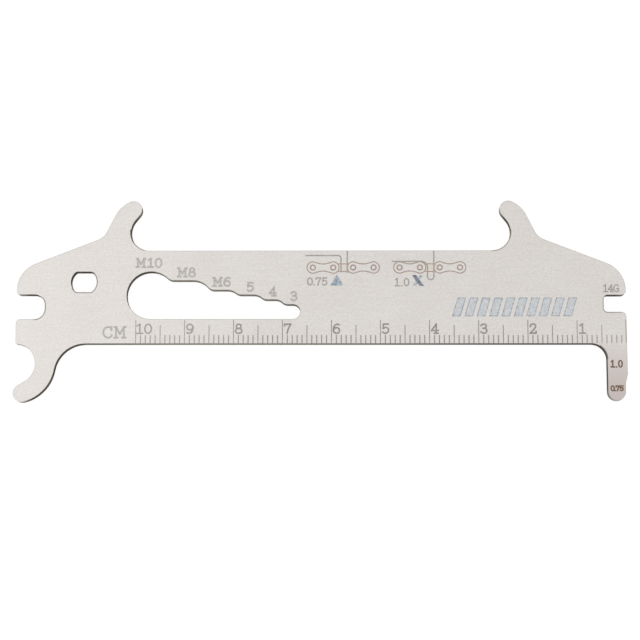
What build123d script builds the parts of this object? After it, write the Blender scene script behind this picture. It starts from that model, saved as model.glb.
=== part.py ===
from build123d import *
import os
from math import cos, radians, sqrt, tan

# Chain wear gauge: one plate cut from stainless steel sheet, in millimetres.
# The plate lies flat with its marked face up, the straight ruler edge towards -Y and the two
# upper hooks towards +Y. Every profile below is drawn with X = 0 on the mirror line of the
# upper hooks and Y = 0 on the ruler edge. The finished outline is then centred on the origin.

# The roller chain that the plate measures
chain_pitch = 12.7
roller_diameter = 7.75
pitches_spanned = 10
wear_low = 0.0075
wear_high = 0.010

# Plate
plate_thickness = 2.0
beam_height = 19.3
edge_break = 0.06

# Upper hooks: each one is a chain of tangent arcs and short straights, walked from the beam's
# upper edge over the tip and down to the sloping shoulder. They hold a short run of chain
# slack, so that its joining link can be opened.
held_pitches = 6
held_slack = 6.0
hook_roller_clearance = 0.1
throat_sweep = 129.5
lip_straight = 1.4
tip_radius = 1.8
tip_sweep = 155.5
back_radius = 6.35
back_sweep = 38.0
back_straight = 3.6
neck_radius = 3.7
shoulder_slope = 21.3
shoulder_corner_radius = 6.0

# Roller hook below the left end, walked in the same way round the roller of the chain
roller_throat_clearance = 0.55
roller_throat_sweep = 148.0
roller_lip_straight = 1.85
roller_tip_radius = 1.8
roller_tip_sweep = 162.5
roller_back_radius = 8.2
roller_back_sweep = 120.0
roller_root_radius = 6.4
roller_corner_radius = 0.3

# Measuring leg below the right end
leg_width = 3.6
leg_depth = 11.6
leg_low_zone = 3.4
leg_ramp = 1.9
leg_low_clearance = 0.12
leg_root_radius = 3.2
leg_tip_inner_radius = 1.8
leg_tip_outer_radius = 1.7

# Open slot in the left end
left_slot_width = 5.13
left_slot_depth = 5.86
left_slot_height = 5.05
left_slot_corner_radius = 2.2
left_slot_upper_mouth_radius = 0.8
left_slot_lower_mouth_radius = 0.8

# Spoke key slot in the right end
key_slot_width = 3.5
key_slot_depth = 4.55
key_slot_height = 6.5
key_slot_corner_radius = 0.8
key_slot_mouth_radius = 0.95

# Double-D hole in the left shoulder, its centre placed from the plate's left end
d_hole_diameter = 5.28
d_hole_across_flats = 4.25
d_hole_corner_radius = 0.8
d_hole_inset = 13.79
d_hole_height = 12.8

# Stepped window for M10, M8, M6, M5, M4 and M3 bolts. A bolt pushed to the right stops where
# its own diameter ends: each step is a slot as high as its bolt, with a half-round end, and
# all of them share one straight floor. The first stop is placed from the plate's left end.
window_heights = (9.9, 8.05, 6.05, 5.05, 4.05, 3.05)
stop_gaps = (8.65, 7.0, 5.45, 4.45, 3.55)
window_inset = 27.6
window_floor = 5.05
window_blend_radius = 1.7

# Sizes that follow
hook_spacing = held_pitches * chain_pitch - held_slack
hook_throat_radius = (roller_diameter + hook_roller_clearance) / 2
roller_throat_radius = (roller_diameter + roller_throat_clearance) / 2


def gauge_span(wear):
    """Clear length between the outer rollers of the measured run in a chain worn this much."""
    return pitches_spanned * chain_pitch * (1 + wear) - roller_diameter


# The roller rests on the throat's wall, one throat radius in from the plate's left end. The
# leg's flank for the higher limit is flush with the plate's right end, and its end zone drops
# into a chain worn to the lower limit with a little play.
half_length = (roller_throat_radius + gauge_span(wear_high)) / 2
leg_low_x = half_length - gauge_span(wear_high) + gauge_span(wear_low) - leg_low_clearance
leg_inner_x = leg_low_x - leg_width
window_start_x = window_inset - half_length


def walk_arc(previous, radius, sweep):
    """Arc that carries on from the end of the previous stretch, to the left if sweep is positive."""
    return JernArc(previous @ 1, previous % 1, radius, sweep)


def walk_straight(previous, length):
    """Straight stretch that carries on from the end of the previous one."""
    start = previous @ 1
    return Line(start, start + (previous % 1) * length)


def corner_at(profile, x, y):
    """The corner of a profile that lies nearest to a point."""
    return profile.vertices().sort_by_distance((x, y))[0]


# Right half of the beam with its upper hook and shoulder
with BuildSketch() as half_body:
    with BuildLine():
        beam_top = Line((0, beam_height), (hook_spacing / 2, beam_height))
        throat = walk_arc(beam_top, hook_throat_radius, throat_sweep)
        lip = walk_straight(throat, lip_straight)
        tip = walk_arc(lip, tip_radius, -tip_sweep)
        back = walk_arc(tip, back_radius, -back_sweep)
        back_line = walk_straight(back, back_straight)
        neck_sweep = tip_sweep + back_sweep - throat_sweep - shoulder_slope
        neck = walk_arc(back_line, neck_radius, neck_sweep)
        run = half_length - (neck @ 1).X
        shoulder = walk_straight(neck, run / cos(radians(shoulder_slope)))
        Polyline(shoulder @ 1, (half_length, 0), (0, 0), (0, beam_height))
    make_face()
    # The corner's rounding stops where the rounded mouths of the end slots begin
    slot_mouths_top = max(
        left_slot_height + left_slot_width + left_slot_upper_mouth_radius,
        key_slot_height + key_slot_width + key_slot_mouth_radius,
    )
    shoulder_room = (shoulder @ 1).Y - slot_mouths_top
    largest_rounding = 0.99 * shoulder_room / tan(radians(90 - shoulder_slope) / 2)
    corner = corner_at(half_body, half_length, (shoulder @ 1).Y)
    fillet(corner, min(shoulder_corner_radius, largest_rounding))

with BuildSketch() as outline:
    add(half_body.sketch)
    mirror(half_body.sketch, about=Plane.YZ)

    # Roller hook, closed inside the body
    with BuildLine():
        throat_start = (-half_length, 0)
        roller_throat = JernArc(
            throat_start, (1, 0), roller_throat_radius, -roller_throat_sweep
        )
        roller_lip = walk_straight(roller_throat, roller_lip_straight)
        roller_tip = walk_arc(roller_lip, roller_tip_radius, roller_tip_sweep)
        roller_back = walk_arc(roller_tip, roller_back_radius, roller_back_sweep)
        Line(roller_back @ 1, throat_start)
    make_face()
    back_centre = roller_back.arc_center
    root_x = back_centre.X + sqrt(roller_back_radius**2 - back_centre.Y**2)
    fillet(corner_at(outline, root_x, 0), roller_root_radius)
    fillet(corner_at(outline, -half_length, 0), roller_corner_radius)

    # Measuring leg, narrower at its end for the lower of the two wear limits
    with BuildLine():
        Polyline(
            (leg_inner_x, 0),
            (leg_inner_x, -leg_depth),
            (leg_low_x, -leg_depth),
            (leg_low_x, -leg_depth + leg_low_zone),
            (half_length, -leg_depth + leg_low_zone + leg_ramp),
            (half_length, 0),
            close=True,
        )
    make_face()
    fillet(corner_at(outline, leg_inner_x, 0), leg_root_radius)
    fillet(corner_at(outline, leg_inner_x, -leg_depth), leg_tip_inner_radius)
    fillet(corner_at(outline, leg_low_x, -leg_depth), leg_tip_outer_radius)

    # Open slot in the left end
    slot_middle = left_slot_height + left_slot_width / 2
    with Locations((-half_length, slot_middle)):
        RectangleRounded(
            2 * left_slot_depth, left_slot_width, left_slot_corner_radius, mode=Mode.SUBTRACT
        )
    slot_top = left_slot_height + left_slot_width
    fillet(corner_at(outline, -half_length, slot_top), left_slot_upper_mouth_radius)
    fillet(corner_at(outline, -half_length, left_slot_height), left_slot_lower_mouth_radius)

    # Spoke key slot in the right end
    with Locations((half_length, key_slot_height + key_slot_width / 2)):
        RectangleRounded(
            2 * key_slot_depth, key_slot_width, key_slot_corner_radius, mode=Mode.SUBTRACT
        )
    key_slot_mouth = [
        corner_at(outline, half_length, key_slot_height),
        corner_at(outline, half_length, key_slot_height + key_slot_width),
    ]
    fillet(key_slot_mouth, key_slot_mouth_radius)

# Double-D hole
with BuildSketch() as d_hole:
    with Locations((d_hole_inset - half_length, d_hole_height)):
        Circle(d_hole_diameter / 2)
        Rectangle(d_hole_diameter, d_hole_across_flats, mode=Mode.INTERSECT)
    fillet(d_hole.vertices(), d_hole_corner_radius)

# Stepped window
with BuildSketch() as window:
    stop_x = window_start_x
    blend_points = []
    for step, height in enumerate(window_heights):
        radius = height / 2
        with Locations((stop_x, window_floor + radius)):
            Circle(radius)
        with Locations((window_start_x, window_floor)):
            if step > 0:
                Rectangle(stop_x - window_start_x, height, align=Align.MIN)
        if step < len(stop_gaps):
            next_height = window_heights[step + 1]
            reach = sqrt(radius**2 - (next_height - radius) ** 2)
            blend_points.append((stop_x + reach, window_floor + next_height))
            stop_x += stop_gaps[step]
    for x, y in blend_points:
        fillet(corner_at(window, x, y), window_blend_radius)

# The plate, with its sharp edges broken all round both faces
with BuildPart() as gauge_plate:
    outline_centre = outline.sketch.bounding_box().center()
    with BuildSketch(Plane((-outline_centre.X, -outline_centre.Y, 0))):
        add(outline.sketch)
        add(d_hole.sketch, mode=Mode.SUBTRACT)
        add(window.sketch, mode=Mode.SUBTRACT)
    extrude(amount=plate_thickness)
    face_edges = gauge_plate.faces().filter_by(Plane.XY).edges()
    chamfer(face_edges, edge_break)

gauge_plate.part.label = "gauge_plate"
os.makedirs("parts", exist_ok=True)
export_step(gauge_plate.part, "parts/gauge_plate.step")
size = gauge_plate.part.bounding_box().size
print("plate", round(size.X, 3), round(size.Y, 3), round(size.Z, 3))
print("volume", round(gauge_plate.part.volume, 2), "solids", len(gauge_plate.solids()))
print("outline centre", round(outline_centre.X, 3), round(outline_centre.Y, 3))
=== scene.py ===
# %% [markdown]
# # A chain wear gauge in stainless steel
#
# The tool is one flat plate, cut by a laser from 2 mm stainless sheet, with marks that the same
# kind of laser drew on its face. The CAD model already has the plate's exact outline, so this
# lesson gives it a real steel finish and draws the marks as thin shapes of their own. Everything
# is in metres, in the CAD model's frame: X along the ruler, Y up to the hooks, Z out of the face.

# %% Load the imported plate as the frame
import bpy
from math import atan2, cos, pi, radians, sin
from mathutils import Matrix, Vector


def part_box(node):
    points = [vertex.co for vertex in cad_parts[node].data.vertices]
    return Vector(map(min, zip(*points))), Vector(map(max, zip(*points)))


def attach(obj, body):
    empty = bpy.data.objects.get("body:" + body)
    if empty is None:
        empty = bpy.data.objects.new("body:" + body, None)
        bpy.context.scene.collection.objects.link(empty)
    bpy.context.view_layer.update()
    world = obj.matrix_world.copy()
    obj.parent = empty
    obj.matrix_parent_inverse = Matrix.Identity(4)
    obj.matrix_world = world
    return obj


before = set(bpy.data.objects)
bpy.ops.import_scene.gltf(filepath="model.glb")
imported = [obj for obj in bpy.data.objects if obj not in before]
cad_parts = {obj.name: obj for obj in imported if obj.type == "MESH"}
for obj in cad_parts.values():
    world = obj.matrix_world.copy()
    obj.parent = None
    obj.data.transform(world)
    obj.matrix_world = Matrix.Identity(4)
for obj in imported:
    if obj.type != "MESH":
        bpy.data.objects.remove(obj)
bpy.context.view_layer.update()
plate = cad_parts["gauge_plate"]
plate_low, plate_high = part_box("gauge_plate")
MM = 0.001
RULER_EDGE_Y = -8.885
print("plate spans, mm:", [round(v / MM, 2) for v in plate_high - plate_low])

# %% [markdown]
# ## Small helpers for materials
#
# Colours are written as the sRGB hex values that a colour picker shows. The shader works with
# linear light, so one function turns them round. A second one adds a node, sets it up and links
# it, which keeps every material below readable as a list of steps. Several patterns grow or fade
# with the distance from some middle, so that small sum has a function too.

# %% Colours and nodes
def linear(hex_colour):
    """An sRGB hex colour as linear red, green, blue and alpha."""
    channels = [int(hex_colour[i:i + 2], 16) / 255 for i in (1, 3, 5)]
    return [c / 12.92 if c <= 0.04045 else ((c + 0.055) / 1.055) ** 2.4 for c in channels] + [1.0]


def add_node(tree, kind, settings=None, links=None):
    """Adds a node, sets its options, and fills each input with a value or another node's output."""
    node = tree.nodes.new(kind)
    for option, value in (settings or {}).items():
        setattr(node, option, value)
    for socket, value in (links or {}).items():
        if isinstance(value, bpy.types.NodeSocket):
            tree.links.new(value, node.inputs[socket])
        else:
            node.inputs[socket].default_value = value
    return node


def new_material(name):
    """An empty node material, with its tree and the shader that is already joined to its output."""
    material = bpy.data.materials.new(name)
    material.use_nodes = True
    return material, material.node_tree, material.node_tree.nodes["Principled BSDF"]


def away_from(tree, coordinate, middle):
    """How far a coordinate is from a middle value, whichever side it is on."""
    offset = add_node(
        tree, "ShaderNodeMath", {"operation": "SUBTRACT"}, {0: coordinate, 1: middle}
    ).outputs[0]
    return add_node(tree, "ShaderNodeMath", {"operation": "ABSOLUTE"}, {0: offset}).outputs[0]


# The sockets of a Mix node in its colour mode, which share their names with the other modes
MIX_COLOUR = {"data_type": "RGBA"}
FACTOR, COLOUR_A, COLOUR_B, COLOUR_OUT = 0, 6, 7, 2

# %% [markdown]
# ## The steel: satin faces, broken edges and dark cut walls
#
# The sheet is stainless steel with a fine satin face. To the eye that is an even, warm light
# grey with a faint grain that runs along the sheet, and no clear reflection. The laser leaves
# the cut walls with a matt brown-black skin of oxide and close upright ripples. Some walls are
# painted paler, as painted light where more light falls on them, and the long ruler edge is the
# palest. The narrow broken edges between face and wall are painted darker than the face, as
# painted shade. All of this belongs to one piece of metal, so it is one material: it reads which
# way the surface faces, and picks the finish from that.
#
# Real satin grain is finer than a tenth of a millimetre, which a picture of the whole plate can't
# show, so it is drawn a few times coarser here.

# %% Finish sizes
GRAIN_LENGTH = 0.50 * MM
GRAIN_WIDTH = 0.34 * MM
STREAK_LENGTH = 5.0 * MM
STREAK_WIDTH = 0.42 * MM
STREAK_SHARE = 0.22
CLOUD_SIZE = 9.0 * MM
GRAIN_HEIGHT = 0.004 * MM
RIPPLE_SPACING = 0.22 * MM
RIPPLE_HEIGHT = 0.020 * MM

# %% Which way the surface faces
# The upright part of the surface's direction is 1 on the faces, 0.7 on the broken edges and 0 on
# the walls. The limits below lie between those values.
EDGE_UPRIGHT, FACE_UPRIGHT = 0.85, 0.95
NO_WALL_UPRIGHT, WALL_UPRIGHT = 0.5, 0.2
steel, tree, shader = new_material("stainless_steel_satin_laser_cut")
place = add_node(tree, "ShaderNodeTexCoord").outputs["Object"]
true_normal = add_node(tree, "ShaderNodeNewGeometry").outputs["True Normal"]
facing = add_node(tree, "ShaderNodeSeparateXYZ", links={0: true_normal}).outputs["Z"]
upright = add_node(tree, "ShaderNodeMath", {"operation": "ABSOLUTE"}, {0: facing}).outputs[0]
on_face = add_node(
    tree,
    "ShaderNodeMapRange",
    links={"Value": upright, "From Min": EDGE_UPRIGHT, "From Max": FACE_UPRIGHT},
).outputs[0]
on_wall = add_node(
    tree,
    "ShaderNodeMapRange",
    links={"Value": upright, "From Min": NO_WALL_UPRIGHT, "From Max": WALL_UPRIGHT},
).outputs[0]

# %% Grain and clouds of the satin face
FINE_SHARE = 0.6


def drawn_out_noise(length, width, detail):
    """Noise whose spots are longer along the sheet than they are wide."""
    along = add_node(
        tree, "ShaderNodeMapping", links={0: place, "Scale": (width / length, 1.0, 1.0)}
    ).outputs[0]
    return add_node(
        tree,
        "ShaderNodeTexNoise",
        links={"Vector": along, "Scale": 1 / width, "Detail": detail, "Roughness": FINE_SHARE},
    ).outputs[0]


spots = drawn_out_noise(GRAIN_LENGTH, GRAIN_WIDTH, 3.0)
streaks = drawn_out_noise(STREAK_LENGTH, STREAK_WIDTH, 2.0)
grain = add_node(
    tree, "ShaderNodeMix", links={FACTOR: STREAK_SHARE, 2: spots, 3: streaks}
).outputs[0]
clouds = add_node(
    tree, "ShaderNodeTexNoise", links={"Vector": place, "Scale": 1 / CLOUD_SIZE, "Detail": 2.0}
).outputs[0]
grain_tint = add_node(
    tree,
    "ShaderNodeMix",
    MIX_COLOUR,
    {FACTOR: grain, COLOUR_A: linear("#c1beba"), COLOUR_B: linear("#f2eeea")},
).outputs[COLOUR_OUT]
cloud_tint = add_node(
    tree,
    "ShaderNodeMix",
    MIX_COLOUR,
    {FACTOR: clouds, COLOUR_A: linear("#f7f5f3"), COLOUR_B: linear("#ffffff")},
).outputs[COLOUR_OUT]
face_colour = add_node(
    tree,
    "ShaderNodeMix",
    {"data_type": "RGBA", "blend_type": "MULTIPLY"},
    {FACTOR: 1.0, COLOUR_A: grain_tint, COLOUR_B: cloud_tint},
).outputs[COLOUR_OUT]

# %% Painted shade on the measuring leg
# The narrow leg is painted a shade darker and warmer towards its tip: painted shade, where
# less light falls on it.
LEG_SHADE_START_Y = -8.0 * MM
LEG_SHADE_END_Y = -17.5 * MM
LEG_LEFT_X = 55.0 * MM
where = add_node(tree, "ShaderNodeSeparateXYZ", links={0: place})
down_leg = add_node(
    tree,
    "ShaderNodeMapRange",
    links={"Value": where.outputs["Y"], "From Min": LEG_SHADE_START_Y, "From Max": LEG_SHADE_END_Y},
).outputs[0]
at_leg = add_node(
    tree, "ShaderNodeMath", {"operation": "GREATER_THAN"}, {0: where.outputs["X"], 1: LEG_LEFT_X}
).outputs[0]
leg_painted_shade = add_node(
    tree, "ShaderNodeMath", {"operation": "MULTIPLY"}, {0: down_leg, 1: at_leg}
).outputs[0]
face_with_leg_shade = add_node(
    tree,
    "ShaderNodeMix",
    MIX_COLOUR,
    {FACTOR: leg_painted_shade, COLOUR_A: face_colour, COLOUR_B: linear("#c5bbb7")},
).outputs[COLOUR_OUT]

# %% Ripples and oxide of the cut walls
# Squeezing the pattern along Z draws it out into upright lines on every wall, whichever way
# that wall runs.
RIPPLE_SQUEEZE = 0.06
ripple_place = add_node(
    tree, "ShaderNodeMapping", links={0: place, "Scale": (1.0, 1.0, RIPPLE_SQUEEZE)}
).outputs[0]
ripples = add_node(
    tree, "ShaderNodeTexNoise", links={"Vector": ripple_place, "Scale": 1 / RIPPLE_SPACING}
).outputs[0]
dark_oxide_wall = add_node(
    tree,
    "ShaderNodeMix",
    MIX_COLOUR,
    {FACTOR: ripples, COLOUR_A: linear("#231d16"), COLOUR_B: linear("#5a5043")},
).outputs[COLOUR_OUT]
# A paler copy of the same oxide: painted light, for the walls where more light falls.
painted_lit_wall = add_node(
    tree,
    "ShaderNodeMix",
    MIX_COLOUR,
    {FACTOR: ripples, COLOUR_A: linear("#767067"), COLOUR_B: linear("#a9a298")},
).outputs[COLOUR_OUT]

# %% Painted light along the ruler edge
# The ruler edge's wall is painted paler, as painted light: it rises from the left end, is
# strongest left of the middle, and fades again on the long way to the right end. Where the
# painted light is weaker, the edge stays browner.
LIGHT_START_X, FULL_LIGHT_X = -56.0 * MM, -30.0 * MM
LIGHT_FADE_X, LIGHT_END_X = -16.0 * MM, 46.0 * MM
EDGE_TOLERANCE = 0.02 * MM
at_ruler_edge = add_node(
    tree,
    "ShaderNodeMath",
    {"operation": "COMPARE"},
    {0: where.outputs["Y"], 1: RULER_EDGE_Y * MM, 2: EDGE_TOLERANCE},
).outputs[0]
light_rising, light_kept = (
    add_node(
        tree,
        "ShaderNodeMapRange",
        links={"Value": where.outputs["X"], "From Min": unlit_x, "From Max": lit_x},
    ).outputs[0]
    for unlit_x, lit_x in ((LIGHT_START_X, FULL_LIGHT_X), (LIGHT_END_X, LIGHT_FADE_X))
)
ruler_light_share = add_node(
    tree, "ShaderNodeMath", {"operation": "MULTIPLY"}, {0: light_rising, 1: light_kept}
).outputs[0]
ruler_light_paint = add_node(
    tree, "ShaderNodeMath", {"operation": "MULTIPLY"}, {0: at_ruler_edge, 1: ruler_light_share}
).outputs[0]

# %% The stepped roof of the bolt window
# The steps' wall is painted pale too, as painted light where more light falls on it. It
# darkens again where the roof runs into the round bore at its left end.
ROOF_MIDDLE_X, ROOF_REACH_X = -16.5 * MM, 16.5 * MM
ROOF_MIDDLE_Y, ROOF_REACH_Y = 0.5 * MM, 5.5 * MM
ROOF_BLEND = 2.5 * MM
ROOF_LIGHT_SHARE = 0.9
at_roof_height = add_node(
    tree,
    "ShaderNodeMath",
    {"operation": "COMPARE"},
    {0: where.outputs["Y"], 1: ROOF_MIDDLE_Y, 2: ROOF_REACH_Y},
).outputs[0]
along_roof = add_node(
    tree,
    "ShaderNodeMapRange",
    links={
        "Value": away_from(tree, where.outputs["X"], ROOF_MIDDLE_X),
        "From Min": ROOF_REACH_X,
        "From Max": ROOF_REACH_X + ROOF_BLEND,
        "To Min": ROOF_LIGHT_SHARE,
        "To Max": 0.0,
    },
).outputs[0]
roof_light_paint = add_node(
    tree, "ShaderNodeMath", {"operation": "MULTIPLY"}, {0: at_roof_height, 1: along_roof}
).outputs[0]
wall_light_paint = add_node(
    tree, "ShaderNodeMath", {"operation": "MAXIMUM"}, {0: ruler_light_paint, 1: roof_light_paint}
).outputs[0]
# The walls are painted paler where this painted light reaches.
wall_with_light_paint = add_node(
    tree,
    "ShaderNodeMix",
    MIX_COLOUR,
    {FACTOR: wall_light_paint, COLOUR_A: dark_oxide_wall, COLOUR_B: painted_lit_wall},
).outputs[COLOUR_OUT]

# %% Painted light on the tips
# At the tips and some outer corners, the walls and the broken edges are painted paler, towards
# the colour of bare steel: painted light, where these spots catch more light. Each spot has its
# middle and its reach in mm, and the share of the paler colour at its middle.
SPOT_LIGHT_COLOUR = "#dbd6cf"
# The broken edges between face and wall are painted darker than the face: painted shade.
EDGE_SHADE = "#7f7870"
PAINTED_LIGHT_SPOTS = {
    "measuring leg's tip": ((60.2, -20.4), 2.9, 0.75),
    "roller hook's tip": ((-61.6, -20.6), 2.8, 1.0),
    "roller hook's throat": ((-61.8, -8.7), 6.0, 1.0),
    "left slot's mouth": ((-62.0, 2.0), 2.6, 0.7),
    "key slot's mouth": ((61.8, 1.4), 1.5, 0.35),
    "left hook's tip": ((-36.3, 18.1), 2.2, 0.3),
    "right hook's tip": ((36.5, 18.8), 2.2, 0.6),
}
flat_place = add_node(
    tree, "ShaderNodeVectorMath", {"operation": "MULTIPLY"}, {0: place, 1: (1.0, 1.0, 0.0)}
).outputs[0]
painted_light = 0.0
for (x, y), reach, share in PAINTED_LIGHT_SPOTS.values():
    distance = add_node(
        tree,
        "ShaderNodeVectorMath",
        {"operation": "DISTANCE"},
        {0: flat_place, 1: (x * MM, y * MM, 0.0)},
    ).outputs["Value"]
    spot = add_node(
        tree,
        "ShaderNodeMapRange",
        links={
            "Value": distance,
            "From Min": 0.0,
            "From Max": reach * MM,
            "To Min": share,
            "To Max": 0.0,
        },
    ).outputs[0]
    painted_light = add_node(
        tree, "ShaderNodeMath", {"operation": "MAXIMUM"}, {0: painted_light, 1: spot}
    ).outputs[0]
wall_colour = add_node(
    tree,
    "ShaderNodeMix",
    MIX_COLOUR,
    {FACTOR: painted_light, COLOUR_A: wall_with_light_paint, COLOUR_B: linear(SPOT_LIGHT_COLOUR)},
).outputs[COLOUR_OUT]
edge_colour = add_node(
    tree,
    "ShaderNodeMix",
    MIX_COLOUR,
    {FACTOR: painted_light, COLOUR_A: linear(EDGE_SHADE), COLOUR_B: linear(SPOT_LIGHT_COLOUR)},
).outputs[COLOUR_OUT]
print("rubbed spots:", ", ".join(PAINTED_LIGHT_SPOTS))

# %% One colour from the three finishes
edge_and_face = add_node(
    tree,
    "ShaderNodeMix",
    MIX_COLOUR,
    {FACTOR: on_face, COLOUR_A: edge_colour, COLOUR_B: face_with_leg_shade},
).outputs[COLOUR_OUT]
whole_colour = add_node(
    tree,
    "ShaderNodeMix",
    MIX_COLOUR,
    {FACTOR: on_wall, COLOUR_A: edge_and_face, COLOUR_B: wall_colour},
).outputs[COLOUR_OUT]

# %% Metal, roughness and relief
# The oxide on the walls is not metal, and it is dull, so it keeps little of the usual shine.
SMOOTHEST_FACE, ROUGHEST_FACE = 0.24, 0.36
WALL_ROUGHNESS = 0.75
WALL_SHINE = 0.15
GRAIN_STRENGTH = 0.5
RIPPLE_STRENGTH = 0.6
metal_share = add_node(
    tree, "ShaderNodeMath", {"operation": "SUBTRACT"}, {0: 1.0, 1: on_wall}
).outputs[0]
face_roughness = add_node(
    tree,
    "ShaderNodeMapRange",
    links={"Value": grain, "To Min": SMOOTHEST_FACE, "To Max": ROUGHEST_FACE},
).outputs[0]
roughness = add_node(
    tree, "ShaderNodeMix", links={FACTOR: on_wall, 2: face_roughness, 3: WALL_ROUGHNESS}
).outputs[0]
face_bump = add_node(
    tree,
    "ShaderNodeBump",
    links={"Strength": GRAIN_STRENGTH, "Distance": GRAIN_HEIGHT, "Height": grain},
).outputs[0]
wall_height = add_node(
    tree, "ShaderNodeMath", {"operation": "MULTIPLY"}, {0: ripples, 1: on_wall}
).outputs[0]
bump = add_node(
    tree,
    "ShaderNodeBump",
    links={
        "Strength": RIPPLE_STRENGTH,
        "Distance": RIPPLE_HEIGHT,
        "Height": wall_height,
        "Normal": face_bump,
    },
).outputs[0]

# %% Give the plate its steel
tree.links.new(whole_colour, shader.inputs["Base Color"])
tree.links.new(metal_share, shader.inputs["Metallic"])
tree.links.new(roughness, shader.inputs["Roughness"])
tree.links.new(bump, shader.inputs["Normal"])
shader.inputs["Specular IOR Level"].default_value = WALL_SHINE
plate.data.materials.clear()
plate.data.materials.append(steel)
print("steel nodes:", len(tree.nodes))

# %% [markdown]
# ## Laser marks
#
# A marking laser doesn't cut: it heats the steel until a thin skin of oxide grows. Fast passes
# leave it pale grey, slower ones grey-brown, a hotter outline goes orange-brown, and some
# settings give a blue tint. It is matt beside the steel, so it reads as a quiet line and not as
# paint. Each tint is a material of its own. Fine speckle breaks it up as the laser's dots do,
# drawn a few times coarser than they are, and the blue fills are blotchier than the lines.

# %% How far a point is out of the laser's focus
# The laser is in focus over the middle of the rule, so a mark's skin fades towards the colour
# of the steel at both ends of the plate.
FOCUS_X = 18.0 * MM
SHARP_REACH = 28.0 * MM
FADED_REACH = 46.0 * MM


def out_of_focus(tree, place, most):
    """0 near the middle of the plate, rising to the given most at its ends."""
    along = add_node(tree, "ShaderNodeSeparateXYZ", links={0: place}).outputs["X"]
    distance = away_from(tree, along, FOCUS_X)
    reach = {"Value": distance, "From Min": SHARP_REACH, "From Max": FADED_REACH, "To Max": most}
    return add_node(tree, "ShaderNodeMapRange", links=reach).outputs[0]


# %% An oxide skin
LINE_SPECKLE = 0.25 * MM
FILL_SPECKLE = 0.60 * MM
ALL_LIGHT, ALL_DARK = 0.3, 0.7
OXIDE_METALLIC = 0.35
OXIDE_ROUGHNESS = 0.6
FADED_COLOUR = "#dad6d1"


def oxide(name, light, dark, speckle_size=LINE_SPECKLE, fade=0.3):
    """A laser mark's oxide skin, speckled between two tints and faded by up to that share."""
    material, tree, shader = new_material(name)
    place = add_node(tree, "ShaderNodeTexCoord").outputs["Object"]
    noise = add_node(
        tree, "ShaderNodeTexNoise", links={"Vector": place, "Scale": 1 / speckle_size}
    ).outputs[0]
    speckle = add_node(
        tree,
        "ShaderNodeMapRange",
        links={"Value": noise, "From Min": ALL_LIGHT, "From Max": ALL_DARK},
    ).outputs[0]
    tint = add_node(
        tree,
        "ShaderNodeMix",
        MIX_COLOUR,
        {FACTOR: speckle, COLOUR_A: linear(light), COLOUR_B: linear(dark)},
    ).outputs[COLOUR_OUT]
    faded = add_node(
        tree,
        "ShaderNodeMix",
        MIX_COLOUR,
        {FACTOR: out_of_focus(tree, place, fade), COLOUR_A: tint, COLOUR_B: linear(FADED_COLOUR)},
    ).outputs[COLOUR_OUT]
    tree.links.new(faded, shader.inputs["Base Color"])
    shader.inputs["Metallic"].default_value = OXIDE_METALLIC
    shader.inputs["Roughness"].default_value = OXIDE_ROUGHNESS
    return material


# %% Tints of the marks
pale_grey_oxide = oxide("laser_oxide_pale_grey", "#d0ccc9", "#b6b2af", fade=0.2)
mid_grey_oxide = oxide("laser_oxide_mid_grey", "#c4beba", "#a29c97", fade=0.3)
grey_brown_oxide = oxide("laser_oxide_grey_brown", "#b7aea8", "#8d847e", fade=0.35)
dark_brown_oxide = oxide("laser_oxide_dark_brown", "#9b7f6a", "#5c4634", fade=0.0)
orange_brown_oxide = oxide("laser_oxide_orange_brown", "#c7b6ac", "#a0897e")
straw_oxide = oxide("laser_oxide_straw", "#c4a48c", "#9a7458")
pale_straw_oxide = oxide("laser_oxide_pale_straw", "#e9e4dc", "#dfd6ca")
blue_oxide = oxide("laser_oxide_blue_grey", "#c9d1d9", "#7f90a1", FILL_SPECKLE)
dark_blue_oxide = oxide("laser_oxide_dark_blue", "#a2acb7", "#5e6a77", FILL_SPECKLE)
mid_blue_oxide = oxide("laser_oxide_mid_blue", "#d0d5d9", "#a2abb3", FILL_SPECKLE)
pale_blue_oxide = oxide("laser_oxide_pale_blue", "#dddfe1", "#c5cacf", FILL_SPECKLE)
# The two brown tints below are painted shade, for the lines beside the rims.
rim_shade_tint = oxide("rim_shade_paint_brown", "#b3a99f", "#93887d", fade=0.0)
dark_rim_shade_tint = oxide("rim_shade_paint_dark_brown", "#6e655c", "#574e45", fade=0.0)
print("mark tints:", [m.name for m in bpy.data.materials if "oxide" in m.name])

# %% [markdown]
# ## A pen for the marks
#
# The marks could be painted by the material, but lines this fine would blur when the finish is
# stored as an image. So each mark is a very thin solid that stands a hundredth of a millimetre
# proud of the face, with its lower half inside the steel. A curve with a flat rectangle swept
# along it is the natural pen: two points give a straight stroke, and more give a smooth bend.
# Where two tops shared one plane they would flicker, so strokes take turns on levels that are a
# hair apart.
#
# A filled shape is simpler than a swept pen: a polygon, pushed down into the steel to give it a
# floor and sides. It stands lower than a stroke, so that an outline can go over its rim.

# %% Sweep a flat pen along strokes
MARK_PROUD = 0.010 * MM
MARK_SUNK = 0.020 * MM
LEVELS = 7
LEVEL_STEP = 0.0004 * MM
FACE_Z = plate_high.z


def nib(width):
    """The pen's cross-section: a flat rectangle, as wide as the stroke."""
    outline = bpy.data.curves.new("nib", "CURVE")
    spline = outline.splines.new("POLY")
    spline.points.add(3)
    corners = ((-1, -1), (1, -1), (1, 1), (-1, 1))
    for point, (side, level) in zip(spline.points, corners):
        z = MARK_PROUD if level > 0 else -MARK_SUNK
        point.co = (side * width / 2, z, 0, 1)
    spline.use_cyclic_u = True
    section = bpy.data.objects.new("nib", outline)
    bpy.context.scene.collection.objects.link(section)
    return section


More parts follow.
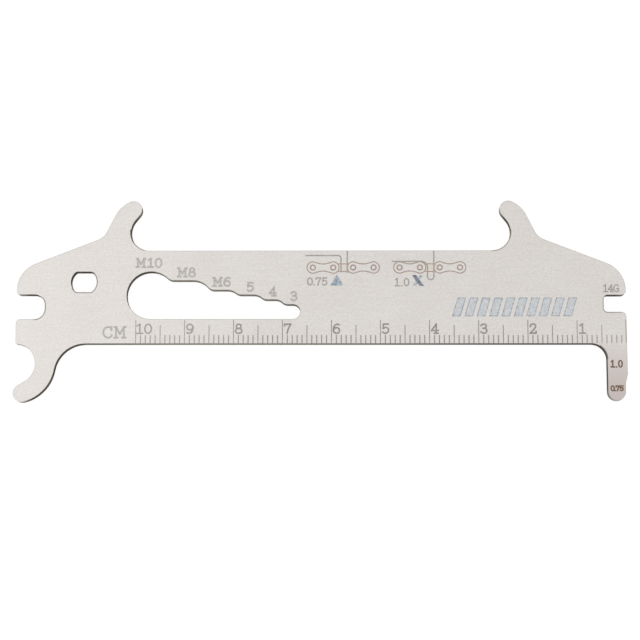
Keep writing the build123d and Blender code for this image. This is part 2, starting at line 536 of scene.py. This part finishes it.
def squared(stroke, reach):
    """The stroke with both ends pushed outwards, so that strokes that meet leave no notch."""
    points = [Vector(point) for point in stroke]
    start = points[0] + (points[0] - points[1]).normalized() * reach
    end = points[-1] + (points[-1] - points[-2]).normalized() * reach
    return [start, *points[1:-1], end]


def finish_mark(name, mesh, material, lift):
    """Places a mark's mesh on the face as a piece of the plate, raised by a lift in mm."""
    piece = bpy.data.objects.new(name, mesh)
    bpy.context.scene.collection.objects.link(piece)
    piece.location.z = FACE_Z + lift * MM
    mesh.materials.clear()
    mesh.materials.append(material)
    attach(piece, "root")
    print(name, "faces", len(mesh.polygons))


def draw(name, strokes, width, material, lift=0.0, smooth=True):
    """Draws strokes, lists of (x, y) in mm, with a pen of that width in mm. A stroke that ends
    where it starts is a closed ring. Points are joined by smooth bends or by straight runs."""
    curve = bpy.data.curves.new(name, "CURVE")
    curve.dimensions = "3D"
    curve.twist_mode = "Z_UP"
    curve.resolution_u = 6
    section = nib(width * MM)
    curve.bevel_mode = "OBJECT"
    curve.bevel_object = section
    curve.use_fill_caps = True
    for number, stroke in enumerate(strokes):
        closed = stroke[0] == stroke[-1]
        points = stroke[:-1] if closed else squared(stroke, width / 2)
        spline = curve.splines.new("BEZIER")
        spline.bezier_points.add(len(points) - 1)
        spline.use_cyclic_u = closed
        for knot, (x, y) in zip(spline.bezier_points, points):
            knot.co = (x * MM, y * MM, number % LEVELS * LEVEL_STEP)
            bent = smooth and len(points) > 2
            knot.handle_left_type = knot.handle_right_type = "AUTO" if bent else "VECTOR"
    pen = bpy.data.objects.new(name + "_pen", curve)
    bpy.context.scene.collection.objects.link(pen)
    bpy.context.view_layer.update()
    drawn = pen.evaluated_get(bpy.context.evaluated_depsgraph_get())
    mesh = bpy.data.meshes.new_from_object(drawn)
    mesh.name = name
    bpy.data.objects.remove(pen)
    bpy.data.objects.remove(section)
    finish_mark(name, mesh, material, lift)


# %% Filled shapes
FILL_PROUD = 0.006 * MM


def fill(name, outlines, material, lift=0.0):
    """Thin solids from closed outlines, lists of (x, y) in mm that run anticlockwise."""
    points, faces = [], []
    for outline in outlines:
        count, first = len(outline), len(points)
        points += [(x * MM, y * MM, -MARK_SUNK) for x, y in outline]
        points += [(x * MM, y * MM, FILL_PROUD) for x, y in outline]
        faces.append([first + i for i in reversed(range(count))])
        faces.append([first + count + i for i in range(count)])
        for i in range(count):
            j = (i + 1) % count
            faces.append([first + i, first + j, first + count + j, first + count + i])
    mesh = bpy.data.meshes.new(name)
    mesh.from_pydata(points, [], faces)
    finish_mark(name, mesh, material, lift)


# %% [markdown]
# ## Painted shade beside the rims
#
# The double-D hole and the two end slots are tight cuts. Beside part of each rim, a thin brown
# line is painted on the face: painted shade, where the small rounded edge turns away from the
# light. The tight inner curves have such a line too: the throats of the upper hooks and the root
# of the measuring leg. It is painted darkest at the left hook's throat and the leg's root. The
# CAD mesh already has the corner points of every rim. Sorted by their direction from the middle
# of the cut or curve they follow one another, and pushed a little outwards they lie on the face,
# ready for the pen.

# %% Lines beside the small cuts and inner curves
RIM_INSET = 0.06
CUT_REACH = 4.2
SAME_LEVEL = 0.001 * MM
LEFT_THROAT = (-35.1, 14.34), (-39.3, -33.0)
RIGHT_THROAT = (35.1, 14.34), (33.0, 39.3)
# Every line here is painted shade beside a rim.
# Each line's pen and tint, and its stretches: the middle of the cut or curve, the X values that
# its points lie between, and the first direction and the turn of the stretch in degrees
RIM_SHADE_LINES = {
    "rim_shade_lines": (0.18, rim_shade_tint, [
        ((-48.44, 3.92), (-52.0, -45.0), 205, 205),
        ((-60.0, -1.27), (-61.5, -56.0), 290, 105),
    ]),
    "faint_rim_shade_lines": (0.12, rim_shade_tint, [
        ((59.5, -0.635), (57.5, 61.6), 145, 180),
        (*LEFT_THROAT, 214, 46),
        (*RIGHT_THROAT, 268, 104),
    ]),
    "throat_dark_shade_line": (0.18, dark_rim_shade_tint, [(*LEFT_THROAT, 172, 48)]),
    "leg_dark_shade_line": (0.10, dark_rim_shade_tint, [((55.2, -12.085), (55.0, 58.6), 355, 63)]),
}


def rim(centre, sides, start, turn):
    """A stretch of a rim as a stroke, in mm, from the start direction anticlockwise."""
    middle, (left, right) = Vector(centre), sides
    on_top = [v.co for v in plate.data.vertices if v.co.z > FACE_Z - SAME_LEVEL]
    corners = [Vector((corner.x, corner.y)) / MM for corner in on_top]
    near = [p for p in corners if left < p.x < right and abs(p.y - middle.y) < CUT_REACH]
    points = {}
    for corner in near:
        arm = corner - middle
        direction = (atan2(arm.y, arm.x) - radians(start)) % (2 * pi)
        if direction < radians(turn):
            points[direction] = corner + arm.normalized() * RIM_INSET
    return [tuple(points[direction]) for direction in sorted(points)]


for name, (rim_pen, tint, cuts) in RIM_SHADE_LINES.items():
    rims = [rim(*cut) for cut in cuts]
    print(name, "points:", [len(stroke) for stroke in rims])
    draw(name, rims, rim_pen, tint, smooth=False)

# %% [markdown]
# ## The ruler
#
# The lower edge carries a ten centimetre rule, read from the right-hand end. A line for every
# millimetre starts at the edge itself. Fifths are longer and tenths longest, so one loop that
# asks what each line's number divides by draws all of them. The short lines are the heaviest,
# because the laser hardly gets up to speed on them.

# %% Graduations
RULER_ZERO_X = 62.39
LINE_SIZES = {10: (4.84, 0.175), 5: (3.8, 0.18), 1: (1.75, 0.22)}
EDGE_GAP = 0.07
END_GAP = 0.16


def ruler_x(millimetres):
    """Where a reading of the rule lies along the plate."""
    return RULER_ZERO_X - millimetres


graduations = {every: [] for every in LINE_SIZES}
for reading in range(101):
    every = next(every for every in LINE_SIZES if reading % every == 0)
    height, width = LINE_SIZES[every]
    x = min(ruler_x(reading), plate_high.x / MM - END_GAP)
    bottom, top = RULER_EDGE_Y + EDGE_GAP + width / 2, RULER_EDGE_Y + height - width / 2
    graduations[every].append([(x, bottom), (x, top)])
for every, lines in graduations.items():
    draw(f"ruler_lines_every_{every}_mm", lines, LINE_SIZES[every][1], grey_brown_oxide)

# %% [markdown]
# ## Figures with slab serifs
#
# The figures have blunt feet and flags, as on a typewriter. Blender's own font has none, so each
# figure is drawn from a few strokes on a grid ten units high. Straight strokes have two points
# and curved ones more, and a nine is simply a six turned half round.

# %% The strokes of each figure and letter
FIGURE_WIDTH, GRID_HEIGHT = 7, 10
FIGURES = {
    "0": [[(3.5, 10), (0.2, 5), (3.5, 0), (6.8, 5), (3.5, 10)]],
    "1": [[(3.7, 0), (3.7, 10)], [(3.7, 10), (1.2, 8.4)], [(0.8, 0), (6.6, 0)]],
    "2": [
        [(0.6, 7.2), (1.6, 9.4), (3.6, 10), (5.9, 8.8), (6.0, 6.8), (3.4, 3.2), (0.6, 0.2)],
        [(0.4, 0), (6.6, 0)],
        [(6.6, 0), (6.6, 2.0)],
    ],
    "3": [
        [(0.6, 8.4), (3.2, 10), (5.8, 8.6), (5.4, 6.4), (2.8, 5.4)],
        [(2.8, 5.4), (6.0, 4.4), (6.4, 2.0), (3.6, 0), (0.5, 1.6)],
    ],
    "4": [
        [(5.0, 10), (0.3, 3.2)],
        [(0.2, 3.0), (7.0, 3.0)],
        [(5.0, 10), (5.0, 0)],
        [(3.0, 0), (7.0, 0)],
    ],
    "5": [
        [(1.2, 10), (6.2, 10)],
        [(1.2, 10), (1.0, 5.3)],
        [(1.0, 5.3), (3.4, 6.3), (6.0, 5.2), (6.4, 2.8), (4.8, 0.5), (2.8, 0), (0.4, 1.4)],
    ],
    "6": [
        [(6.2, 9.2), (4.4, 10), (1.8, 8.8), (0.4, 6.0), (0.2, 3.4)],
        [(3.4, 6.2), (0.3, 3.1), (3.4, 0), (6.5, 3.1), (3.4, 6.2)],
    ],
    "7": [[(0.4, 10), (6.8, 10)], [(0.4, 10), (0.4, 8.2)], [(6.8, 10), (4.2, 4.8), (3.0, 0)]],
    "8": [
        [(3.5, 10), (1.0, 7.7), (3.5, 5.4), (6.0, 7.7), (3.5, 10)],
        [(3.5, 5.4), (0.2, 2.7), (3.5, 0), (6.8, 2.7), (3.5, 5.4)],
    ],
    ".": [[(0, 0), (0.6, 0)]],
    "M": [
        [(1.6, 0), (1.6, 10)],
        [(8.4, 0), (8.4, 10)],
        [(1.6, 10), (5.0, 3.4)],
        [(5.0, 3.4), (8.4, 10)],
        [(0, 0), (3.2, 0)],
        [(6.8, 0), (10, 0)],
        [(0.2, 10), (1.8, 10)],
        [(8.2, 10), (9.8, 10)],
    ],
    "C": [
        [(7.2, 7.4), (6.0, 9.4), (4, 10), (0.9, 8.0), (0.2, 5), (0.9, 2.0), (4, 0), (6.4, 0.6),
         (7.4, 2.2)],
        [(7.2, 10), (7.2, 7.2)],
    ],
    "G": [
        [(6.6, 8.0), (5.6, 9.4), (3.8, 10), (0.9, 8.2), (0.2, 5), (0.9, 1.8), (3.8, 0), (5.8, 0.5),
         (6.8, 1.6)],
        [(6.8, 0.6), (6.8, 4.4)],
        [(4.2, 4.4), (7.2, 4.4)],
    ],
}
FIGURES["9"] = [
    [(FIGURE_WIDTH - x, GRID_HEIGHT - y) for x, y in stroke] for stroke in FIGURES["6"]
]


def written(text, left, bottom, height, pen, gap=2.2, stretch=1.0):
    """The strokes of a text, in mm. Left, bottom and height are those of its inked box."""
    unit = (height - pen) / GRID_HEIGHT
    strokes, x, y = [], left + pen / 2, bottom + pen / 2
    for figure in text:
        shape = FIGURES[figure]
        strokes += [[(x + a * unit * stretch, y + b * unit) for a, b in s] for s in shape]
        x += (max(a for s in shape for a, b in s) + gap) * unit * stretch
    return strokes


# %% [markdown]
# ## Numbers and sizes
#
# The rule's numbers stand just to the right of their lines. Each step of the window has its
# bolt's size above it, and the slot in the right end has the gauge of the spokes that it holds.
# All of them are written with the same strokes, each in its own height and width.

# %% Numbers along the ruler
NUMBER_HEIGHT = 2.2
NUMBER_BOTTOM = RULER_EDGE_Y + 1.95
NUMBER_INSET = 0.2
TWO_FIGURES_SHIFT = 0.25
NUMBER_PEN = 0.32

numbers = []
for centimetre in range(1, 11):
    text = str(centimetre)
    left = ruler_x(10 * centimetre) + NUMBER_INSET - TWO_FIGURES_SHIFT * (len(text) - 1)
    numbers += written(text, left, NUMBER_BOTTOM, NUMBER_HEIGHT, NUMBER_PEN, stretch=1.05)
draw("ruler_numbers", numbers, NUMBER_PEN, grey_brown_oxide)

# %% The rule's unit
UNIT_PEN = 0.38
unit_name = written("CM", -44.45, -7.85, 2.6, UNIT_PEN, stretch=1.06)
draw("ruler_unit", unit_name, UNIT_PEN, pale_grey_oxide)

# %% Bolt sizes above the stepped window
SIZE_PEN = 0.38
SIZE_HEIGHT = 2.12
SIZE_STRETCH = 1.07
SIZE_PLACES = [("M10", -37.9, 6.82), ("M8", -29.35, 4.82), ("M6", -22.1, 2.84), ("5", -15.1, 1.79),
               ("4", -10.5, 0.81), ("3", -6.15, -0.15)]

sizes = []
for text, left, bottom in SIZE_PLACES:
    sizes += written(text, left, bottom, SIZE_HEIGHT, SIZE_PEN, stretch=SIZE_STRETCH)
draw("bolt_size_marks", sizes, SIZE_PEN, pale_grey_oxide)

# %% Spoke gauge beside the key slot
SPOKE_PEN = 0.26
spoke_gauge = written("14G", 57.7, 1.68, 1.66, SPOKE_PEN, gap=1.4, stretch=0.96)
draw("spoke_gauge_mark", spoke_gauge, SPOKE_PEN, grey_brown_oxide)

# %% [markdown]
# ## The two chain drawings
#
# Beside the window the face shows how to read the gauge: a chain with the leg's end dropped
# between two links, once resting on top for a good chain and once right through for a worn one.
# A link's outline is two round ends joined by a drawn-in waist, so one function gives it from
# the centres of its two rollers, and both drawings share it. The gap between two links, where
# the leg drops in, has a faint warm tint of its own.

# %% Chain links
LINK_RADIUS = 1.19
LINK_WAIST = 0.74
PIN_RADIUS = 0.50
LINK_PEN = 0.21
PIN_PEN = 0.28
LINK_Y = 6.87
ROLLER_PAIRS = [(-1.43, 2.73), (6.82, 11.0), (16.33, 20.5), (24.56, 28.7)]


def circle(x, y, radius, points=8):
    """A closed ring of points."""
    turn = [(x + radius * cos(2 * pi * i / points), y + radius * sin(2 * pi * i / points))
            for i in range(points)]
    return turn + turn[:1]


def link(left, right):
    """A link plate seen from the side: two round ends with a drawn-in waist between them."""
    end = [(-1.0, 0.0), (-0.71, 0.71), (0.0, 1.0), (0.64, 0.82)]
    profile = [(left + a * LINK_RADIUS, b * LINK_RADIUS) for a, b in end]
    profile += [((left + right) / 2, LINK_WAIST)]
    profile += [(right - a * LINK_RADIUS, b * LINK_RADIUS) for a, b in reversed(end)]
    top = [(x, LINK_Y + y) for x, y in profile]
    bottom = [(x, LINK_Y - y) for x, y in reversed(profile[1:-1])]
    return top + bottom + top[:1]


links = [link(left, right) for left, right in ROLLER_PAIRS]
draw("drawn_chain_links", links, LINK_PEN, orange_brown_oxide)
pins = [circle(x, LINK_Y, PIN_RADIUS) for pair in ROLLER_PAIRS for x in pair]
draw("drawn_chain_pins", pins, PIN_PEN, orange_brown_oxide)

# %% The inner links between them
INNER_LINK_SPANS = [(3.86, 5.69), (21.63, 23.44)]
INNER_LINK_LEVELS = (-0.85, 0.75)
GAP_SPANS = [(4.65, 5.45), (22.25, 23.15)]
GAP_LOW, GAP_HIGH = LINK_Y - 0.7, LINK_Y + 0.6
INNER_PEN = 0.17
INNER_LIFT = 0.003
inner = [[(left, LINK_Y + level), (right, LINK_Y + level)]
         for left, right in INNER_LINK_SPANS for level in INNER_LINK_LEVELS]
draw("drawn_inner_links", inner, INNER_PEN, straw_oxide, INNER_LIFT)
gaps = [[(left, GAP_LOW), (right, GAP_LOW), (right, GAP_HIGH), (left, GAP_HIGH)]
        for left, right in GAP_SPANS]
fill("drawn_link_gaps", gaps, pale_straw_oxide)

# %% The leg in each drawing
BEAM_TOP_Y = 10.415
TOP_GAP = 0.2
LEG_PEN = 0.28
LEG_LIFT = 0.006
leg_resting = [
    [(-2.85, 9.38), (3.75, 9.38)],
    [(3.75, 9.38), (4.15, 9.2), (4.33, 8.75)],
    [(4.33, 8.75), (4.33, 6.0)],
    [(5.62, BEAM_TOP_Y - TOP_GAP), (5.62, 5.9)],
]
leg_through = [
    [(14.9, 8.13), (20.9, 8.13)],
    [(20.9, 8.13), (21.7, 7.8), (22.05, 7.0)],
    [(22.05, 7.0), (22.05, 5.0)],
    [(22.05, 5.0), (22.25, 4.5), (22.7, 4.33), (23.15, 4.5), (23.35, 5.0)],
    [(23.35, 5.0), (23.35, BEAM_TOP_Y - TOP_GAP)],
]
draw("drawn_legs", leg_resting + leg_through, LEG_PEN, mid_grey_oxide, LEG_LIFT)

# %% Wear limits
LIMIT_PEN = 0.27
limits = written("0.75", -2.66, 3.1, 1.73, LIMIT_PEN, gap=2.3, stretch=0.98)
limits += written("1.0", 15.2, 2.92, 1.78, LIMIT_PEN, gap=3.5, stretch=0.9)
draw("wear_limit_numbers", limits, LIMIT_PEN, mid_grey_oxide)

# %% The same limits on the measuring leg
LEG_NUMBER_PEN = 0.3
leg_numbers = written("1.0", 58.92, -13.87, 1.6, LEG_NUMBER_PEN, gap=4.0, stretch=0.8)
leg_numbers += written("0.75", 58.85, -18.7, 1.24, LEG_NUMBER_PEN, gap=1.7)
draw("leg_limit_numbers", leg_numbers, LEG_NUMBER_PEN, dark_brown_oxide)

# %% [markdown]
# ## Blue marks
#
# A triangle stands for a chain that may run on and a cross for one that has to come off. Both
# are filled shapes in blue-grey. The cross is two bars, and the laser lingers on the thick one,
# which comes out darker and lies over the thin one.

# %% Triangle and cross
CROSS_LIFT = 0.002
triangle = [(2.13, 3.13), (4.8, 3.13), (3.47, 5.46)]
fill("good_chain_triangle", [triangle], blue_oxide)
thin_bar = [(18.9, 3.02), (19.65, 3.02), (21.15, 5.27), (20.45, 5.27)]
thick_bar = [(18.87, 5.3), (19.6, 4.05), (20.5, 3.0), (21.35, 3.0), (20.4, 4.3), (19.7, 5.3)]
fill("worn_chain_cross_thin_bar", [thin_bar], mid_blue_oxide)
fill("worn_chain_cross_thick_bar", [thick_bar], dark_blue_oxide, CROSS_LIFT)

# %% [markdown]
# ## A hatched band
#
# The right half of the face has a wide band in the same blue tint, filled with plain slanted
# bars. Each bar has a darker outline round a paler field, because the laser goes round a shape
# after it has filled it.

# %% Slanted bars
BAND_LEFT, BAND_RIGHT = 27.1, 52.4
BAND_LOW, BAND_HIGH = -3.2, 0.5
BAR_COUNT = 10
BAR_SLANT = 1.1
BAR_SHARE = 0.62
BAR_PEN = 0.16
pitch = (BAND_RIGHT - BAND_LEFT - BAR_SLANT) / (BAR_COUNT - 1 + BAR_SHARE)

bars = []
for number in range(BAR_COUNT):
    left = BAND_LEFT + number * pitch
    right = left + BAR_SHARE * pitch
    bars.append([(left, BAND_LOW), (right, BAND_LOW), (right + BAR_SLANT, BAND_HIGH),
                 (left + BAR_SLANT, BAND_HIGH)])
fill("hatched_band_field", bars, pale_blue_oxide)
sides = [[bar[i], bar[(i + 1) % 4]] for bar in bars for i in range(4)]
draw("hatched_band_outline", sides, BAR_PEN, blue_oxide)

# %% [markdown]
# ## The floor and the light
#
# The photograph is a cut-out on white. A plain pale floor carries the plate, and the camera sees
# it mixed with plain white, so it stays white and keeps a trace of shadow. The steel mirrors what
# is around it, so the surroundings are white for its reflections too. One wide soft lamp at the
# upper left makes that end of the face a little brighter, as a window does.

# %% Light path mask
def seen_directly(tree):
    """1 for rays from the camera and for mirrored or refracted ones, 0 for scattered light."""
    path = add_node(tree, "ShaderNodeLightPath").outputs
    mirrored = add_node(
        tree,
        "ShaderNodeMath",
        {"operation": "MAXIMUM"},
        {0: path["Is Glossy Ray"], 1: path["Is Transmission Ray"]},
    ).outputs[0]
    return add_node(
        tree, "ShaderNodeMath", {"operation": "MAXIMUM"}, {0: path["Is Camera Ray"], 1: mirrored}
    ).outputs[0]


# %% World
AMBIENT_STRENGTH = 0.9
world = bpy.data.worlds.new("studio")
bpy.context.scene.world = world
world.use_nodes = True
tree = world.node_tree
tree.nodes.clear()
ambient = add_node(
    tree,
    "ShaderNodeBackground",
    links={"Color": linear("#f4f3f1"), "Strength": AMBIENT_STRENGTH},
)
white = add_node(tree, "ShaderNodeBackground", links={"Color": linear("#ffffff"), "Strength": 1.0})
both = add_node(
    tree,
    "ShaderNodeMixShader",
    links={0: seen_directly(tree), 1: ambient.outputs[0], 2: white.outputs[0]},
)
add_node(tree, "ShaderNodeOutputWorld", links={0: both.outputs[0]})

# %% Floor
FLOOR_SIZE = 6.0
FLOOR_DROP = 0.02 * MM
PLAIN_WHITE_SHARE = 0.85
PLAIN_WHITE_STRENGTH = 1.1
PAPER_ROUGHNESS = 0.9
PAPER_SHINE = 0.1
bpy.ops.mesh.primitive_plane_add(size=FLOOR_SIZE, location=(0, 0, plate_low.z - FLOOR_DROP))
floor = bpy.context.object
floor.name = "floor"
paper, tree, shader = new_material("matt_white_paper")
shader.inputs["Base Color"].default_value = linear("#f2f2f1")
shader.inputs["Roughness"].default_value = PAPER_ROUGHNESS
shader.inputs["Specular IOR Level"].default_value = PAPER_SHINE
plain_white = add_node(
    tree,
    "ShaderNodeEmission",
    links={"Color": linear("#ffffff"), "Strength": PLAIN_WHITE_STRENGTH},
)
share = add_node(
    tree,
    "ShaderNodeMath",
    {"operation": "MULTIPLY"},
    {0: seen_directly(tree), 1: PLAIN_WHITE_SHARE},
).outputs[0]
mixed = add_node(
    tree, "ShaderNodeMixShader", links={0: share, 1: shader.outputs[0], 2: plain_white.outputs[0]}
)
tree.links.new(mixed.outputs[0], tree.nodes["Material Output"].inputs[0])
floor.data.materials.append(paper)

# %% Lamp
LAMP_SIZE = 0.42
LAMP_PLACE = Vector((-0.33, 0.09, 0.75))
LAMP_WATTS = 0.135
lamp_data = bpy.data.lights.new("soft_window", "AREA")
lamp_data.shape = "SQUARE"
lamp_data.size = LAMP_SIZE
lamp_data.energy = LAMP_WATTS
lamp = bpy.data.objects.new("soft_window", lamp_data)
lamp.location = LAMP_PLACE
lamp.rotation_euler = (-LAMP_PLACE).to_track_quat("-Z", "Y").to_euler()
bpy.context.scene.collection.objects.link(lamp)
print("lamp radiance:", round(LAMP_WATTS / (pi * LAMP_SIZE**2), 2))

# %% [markdown]
# ## The camera
#
# The photograph looks almost straight down on the plate, tipped a little towards the ruler edge,
# from well under half a metre. The tilt and the distance come from fitting the plate's known
# outline to the picture, and the lens from the width of the plate in it.

# %% Camera
TILT = radians(9.27)
SWING = radians(-1.026)
ROLL = radians(0.039)
DISTANCE = 0.3843
LOOK_AT = Vector((0.05 * MM, -4.03 * MM, FACE_Z))
FOCAL_PIXELS = 1882.4
IMAGE_PIXELS = 640
SENSOR_WIDTH = 36.0
NEAREST_SEEN = 0.01

back_axis = Vector((-sin(SWING), -sin(TILT) * cos(SWING), cos(TILT) * cos(SWING)))
right_axis = Vector((cos(SWING), -sin(TILT) * sin(SWING), cos(TILT) * sin(SWING)))
up_axis = back_axis.cross(right_axis)
turned_right = cos(ROLL) * right_axis - sin(ROLL) * up_axis
turned_up = sin(ROLL) * right_axis + cos(ROLL) * up_axis

camera_data = bpy.data.cameras.new("camera")
camera_data.sensor_width = SENSOR_WIDTH
camera_data.lens = FOCAL_PIXELS / IMAGE_PIXELS * SENSOR_WIDTH
camera_data.clip_start = NEAREST_SEEN
camera = bpy.data.objects.new("camera", camera_data)
bpy.context.scene.collection.objects.link(camera)
axes = Matrix((turned_right, turned_up, back_axis)).transposed()
camera.matrix_world = Matrix.Translation(LOOK_AT + DISTANCE * back_axis) @ axes.to_4x4()
bpy.context.scene.camera = camera
bpy.context.scene.view_settings.view_transform = "Standard"
print("lens, mm:", round(camera_data.lens, 1), "camera at, mm:",
      [round(v / MM, 1) for v in camera.matrix_world.translation])
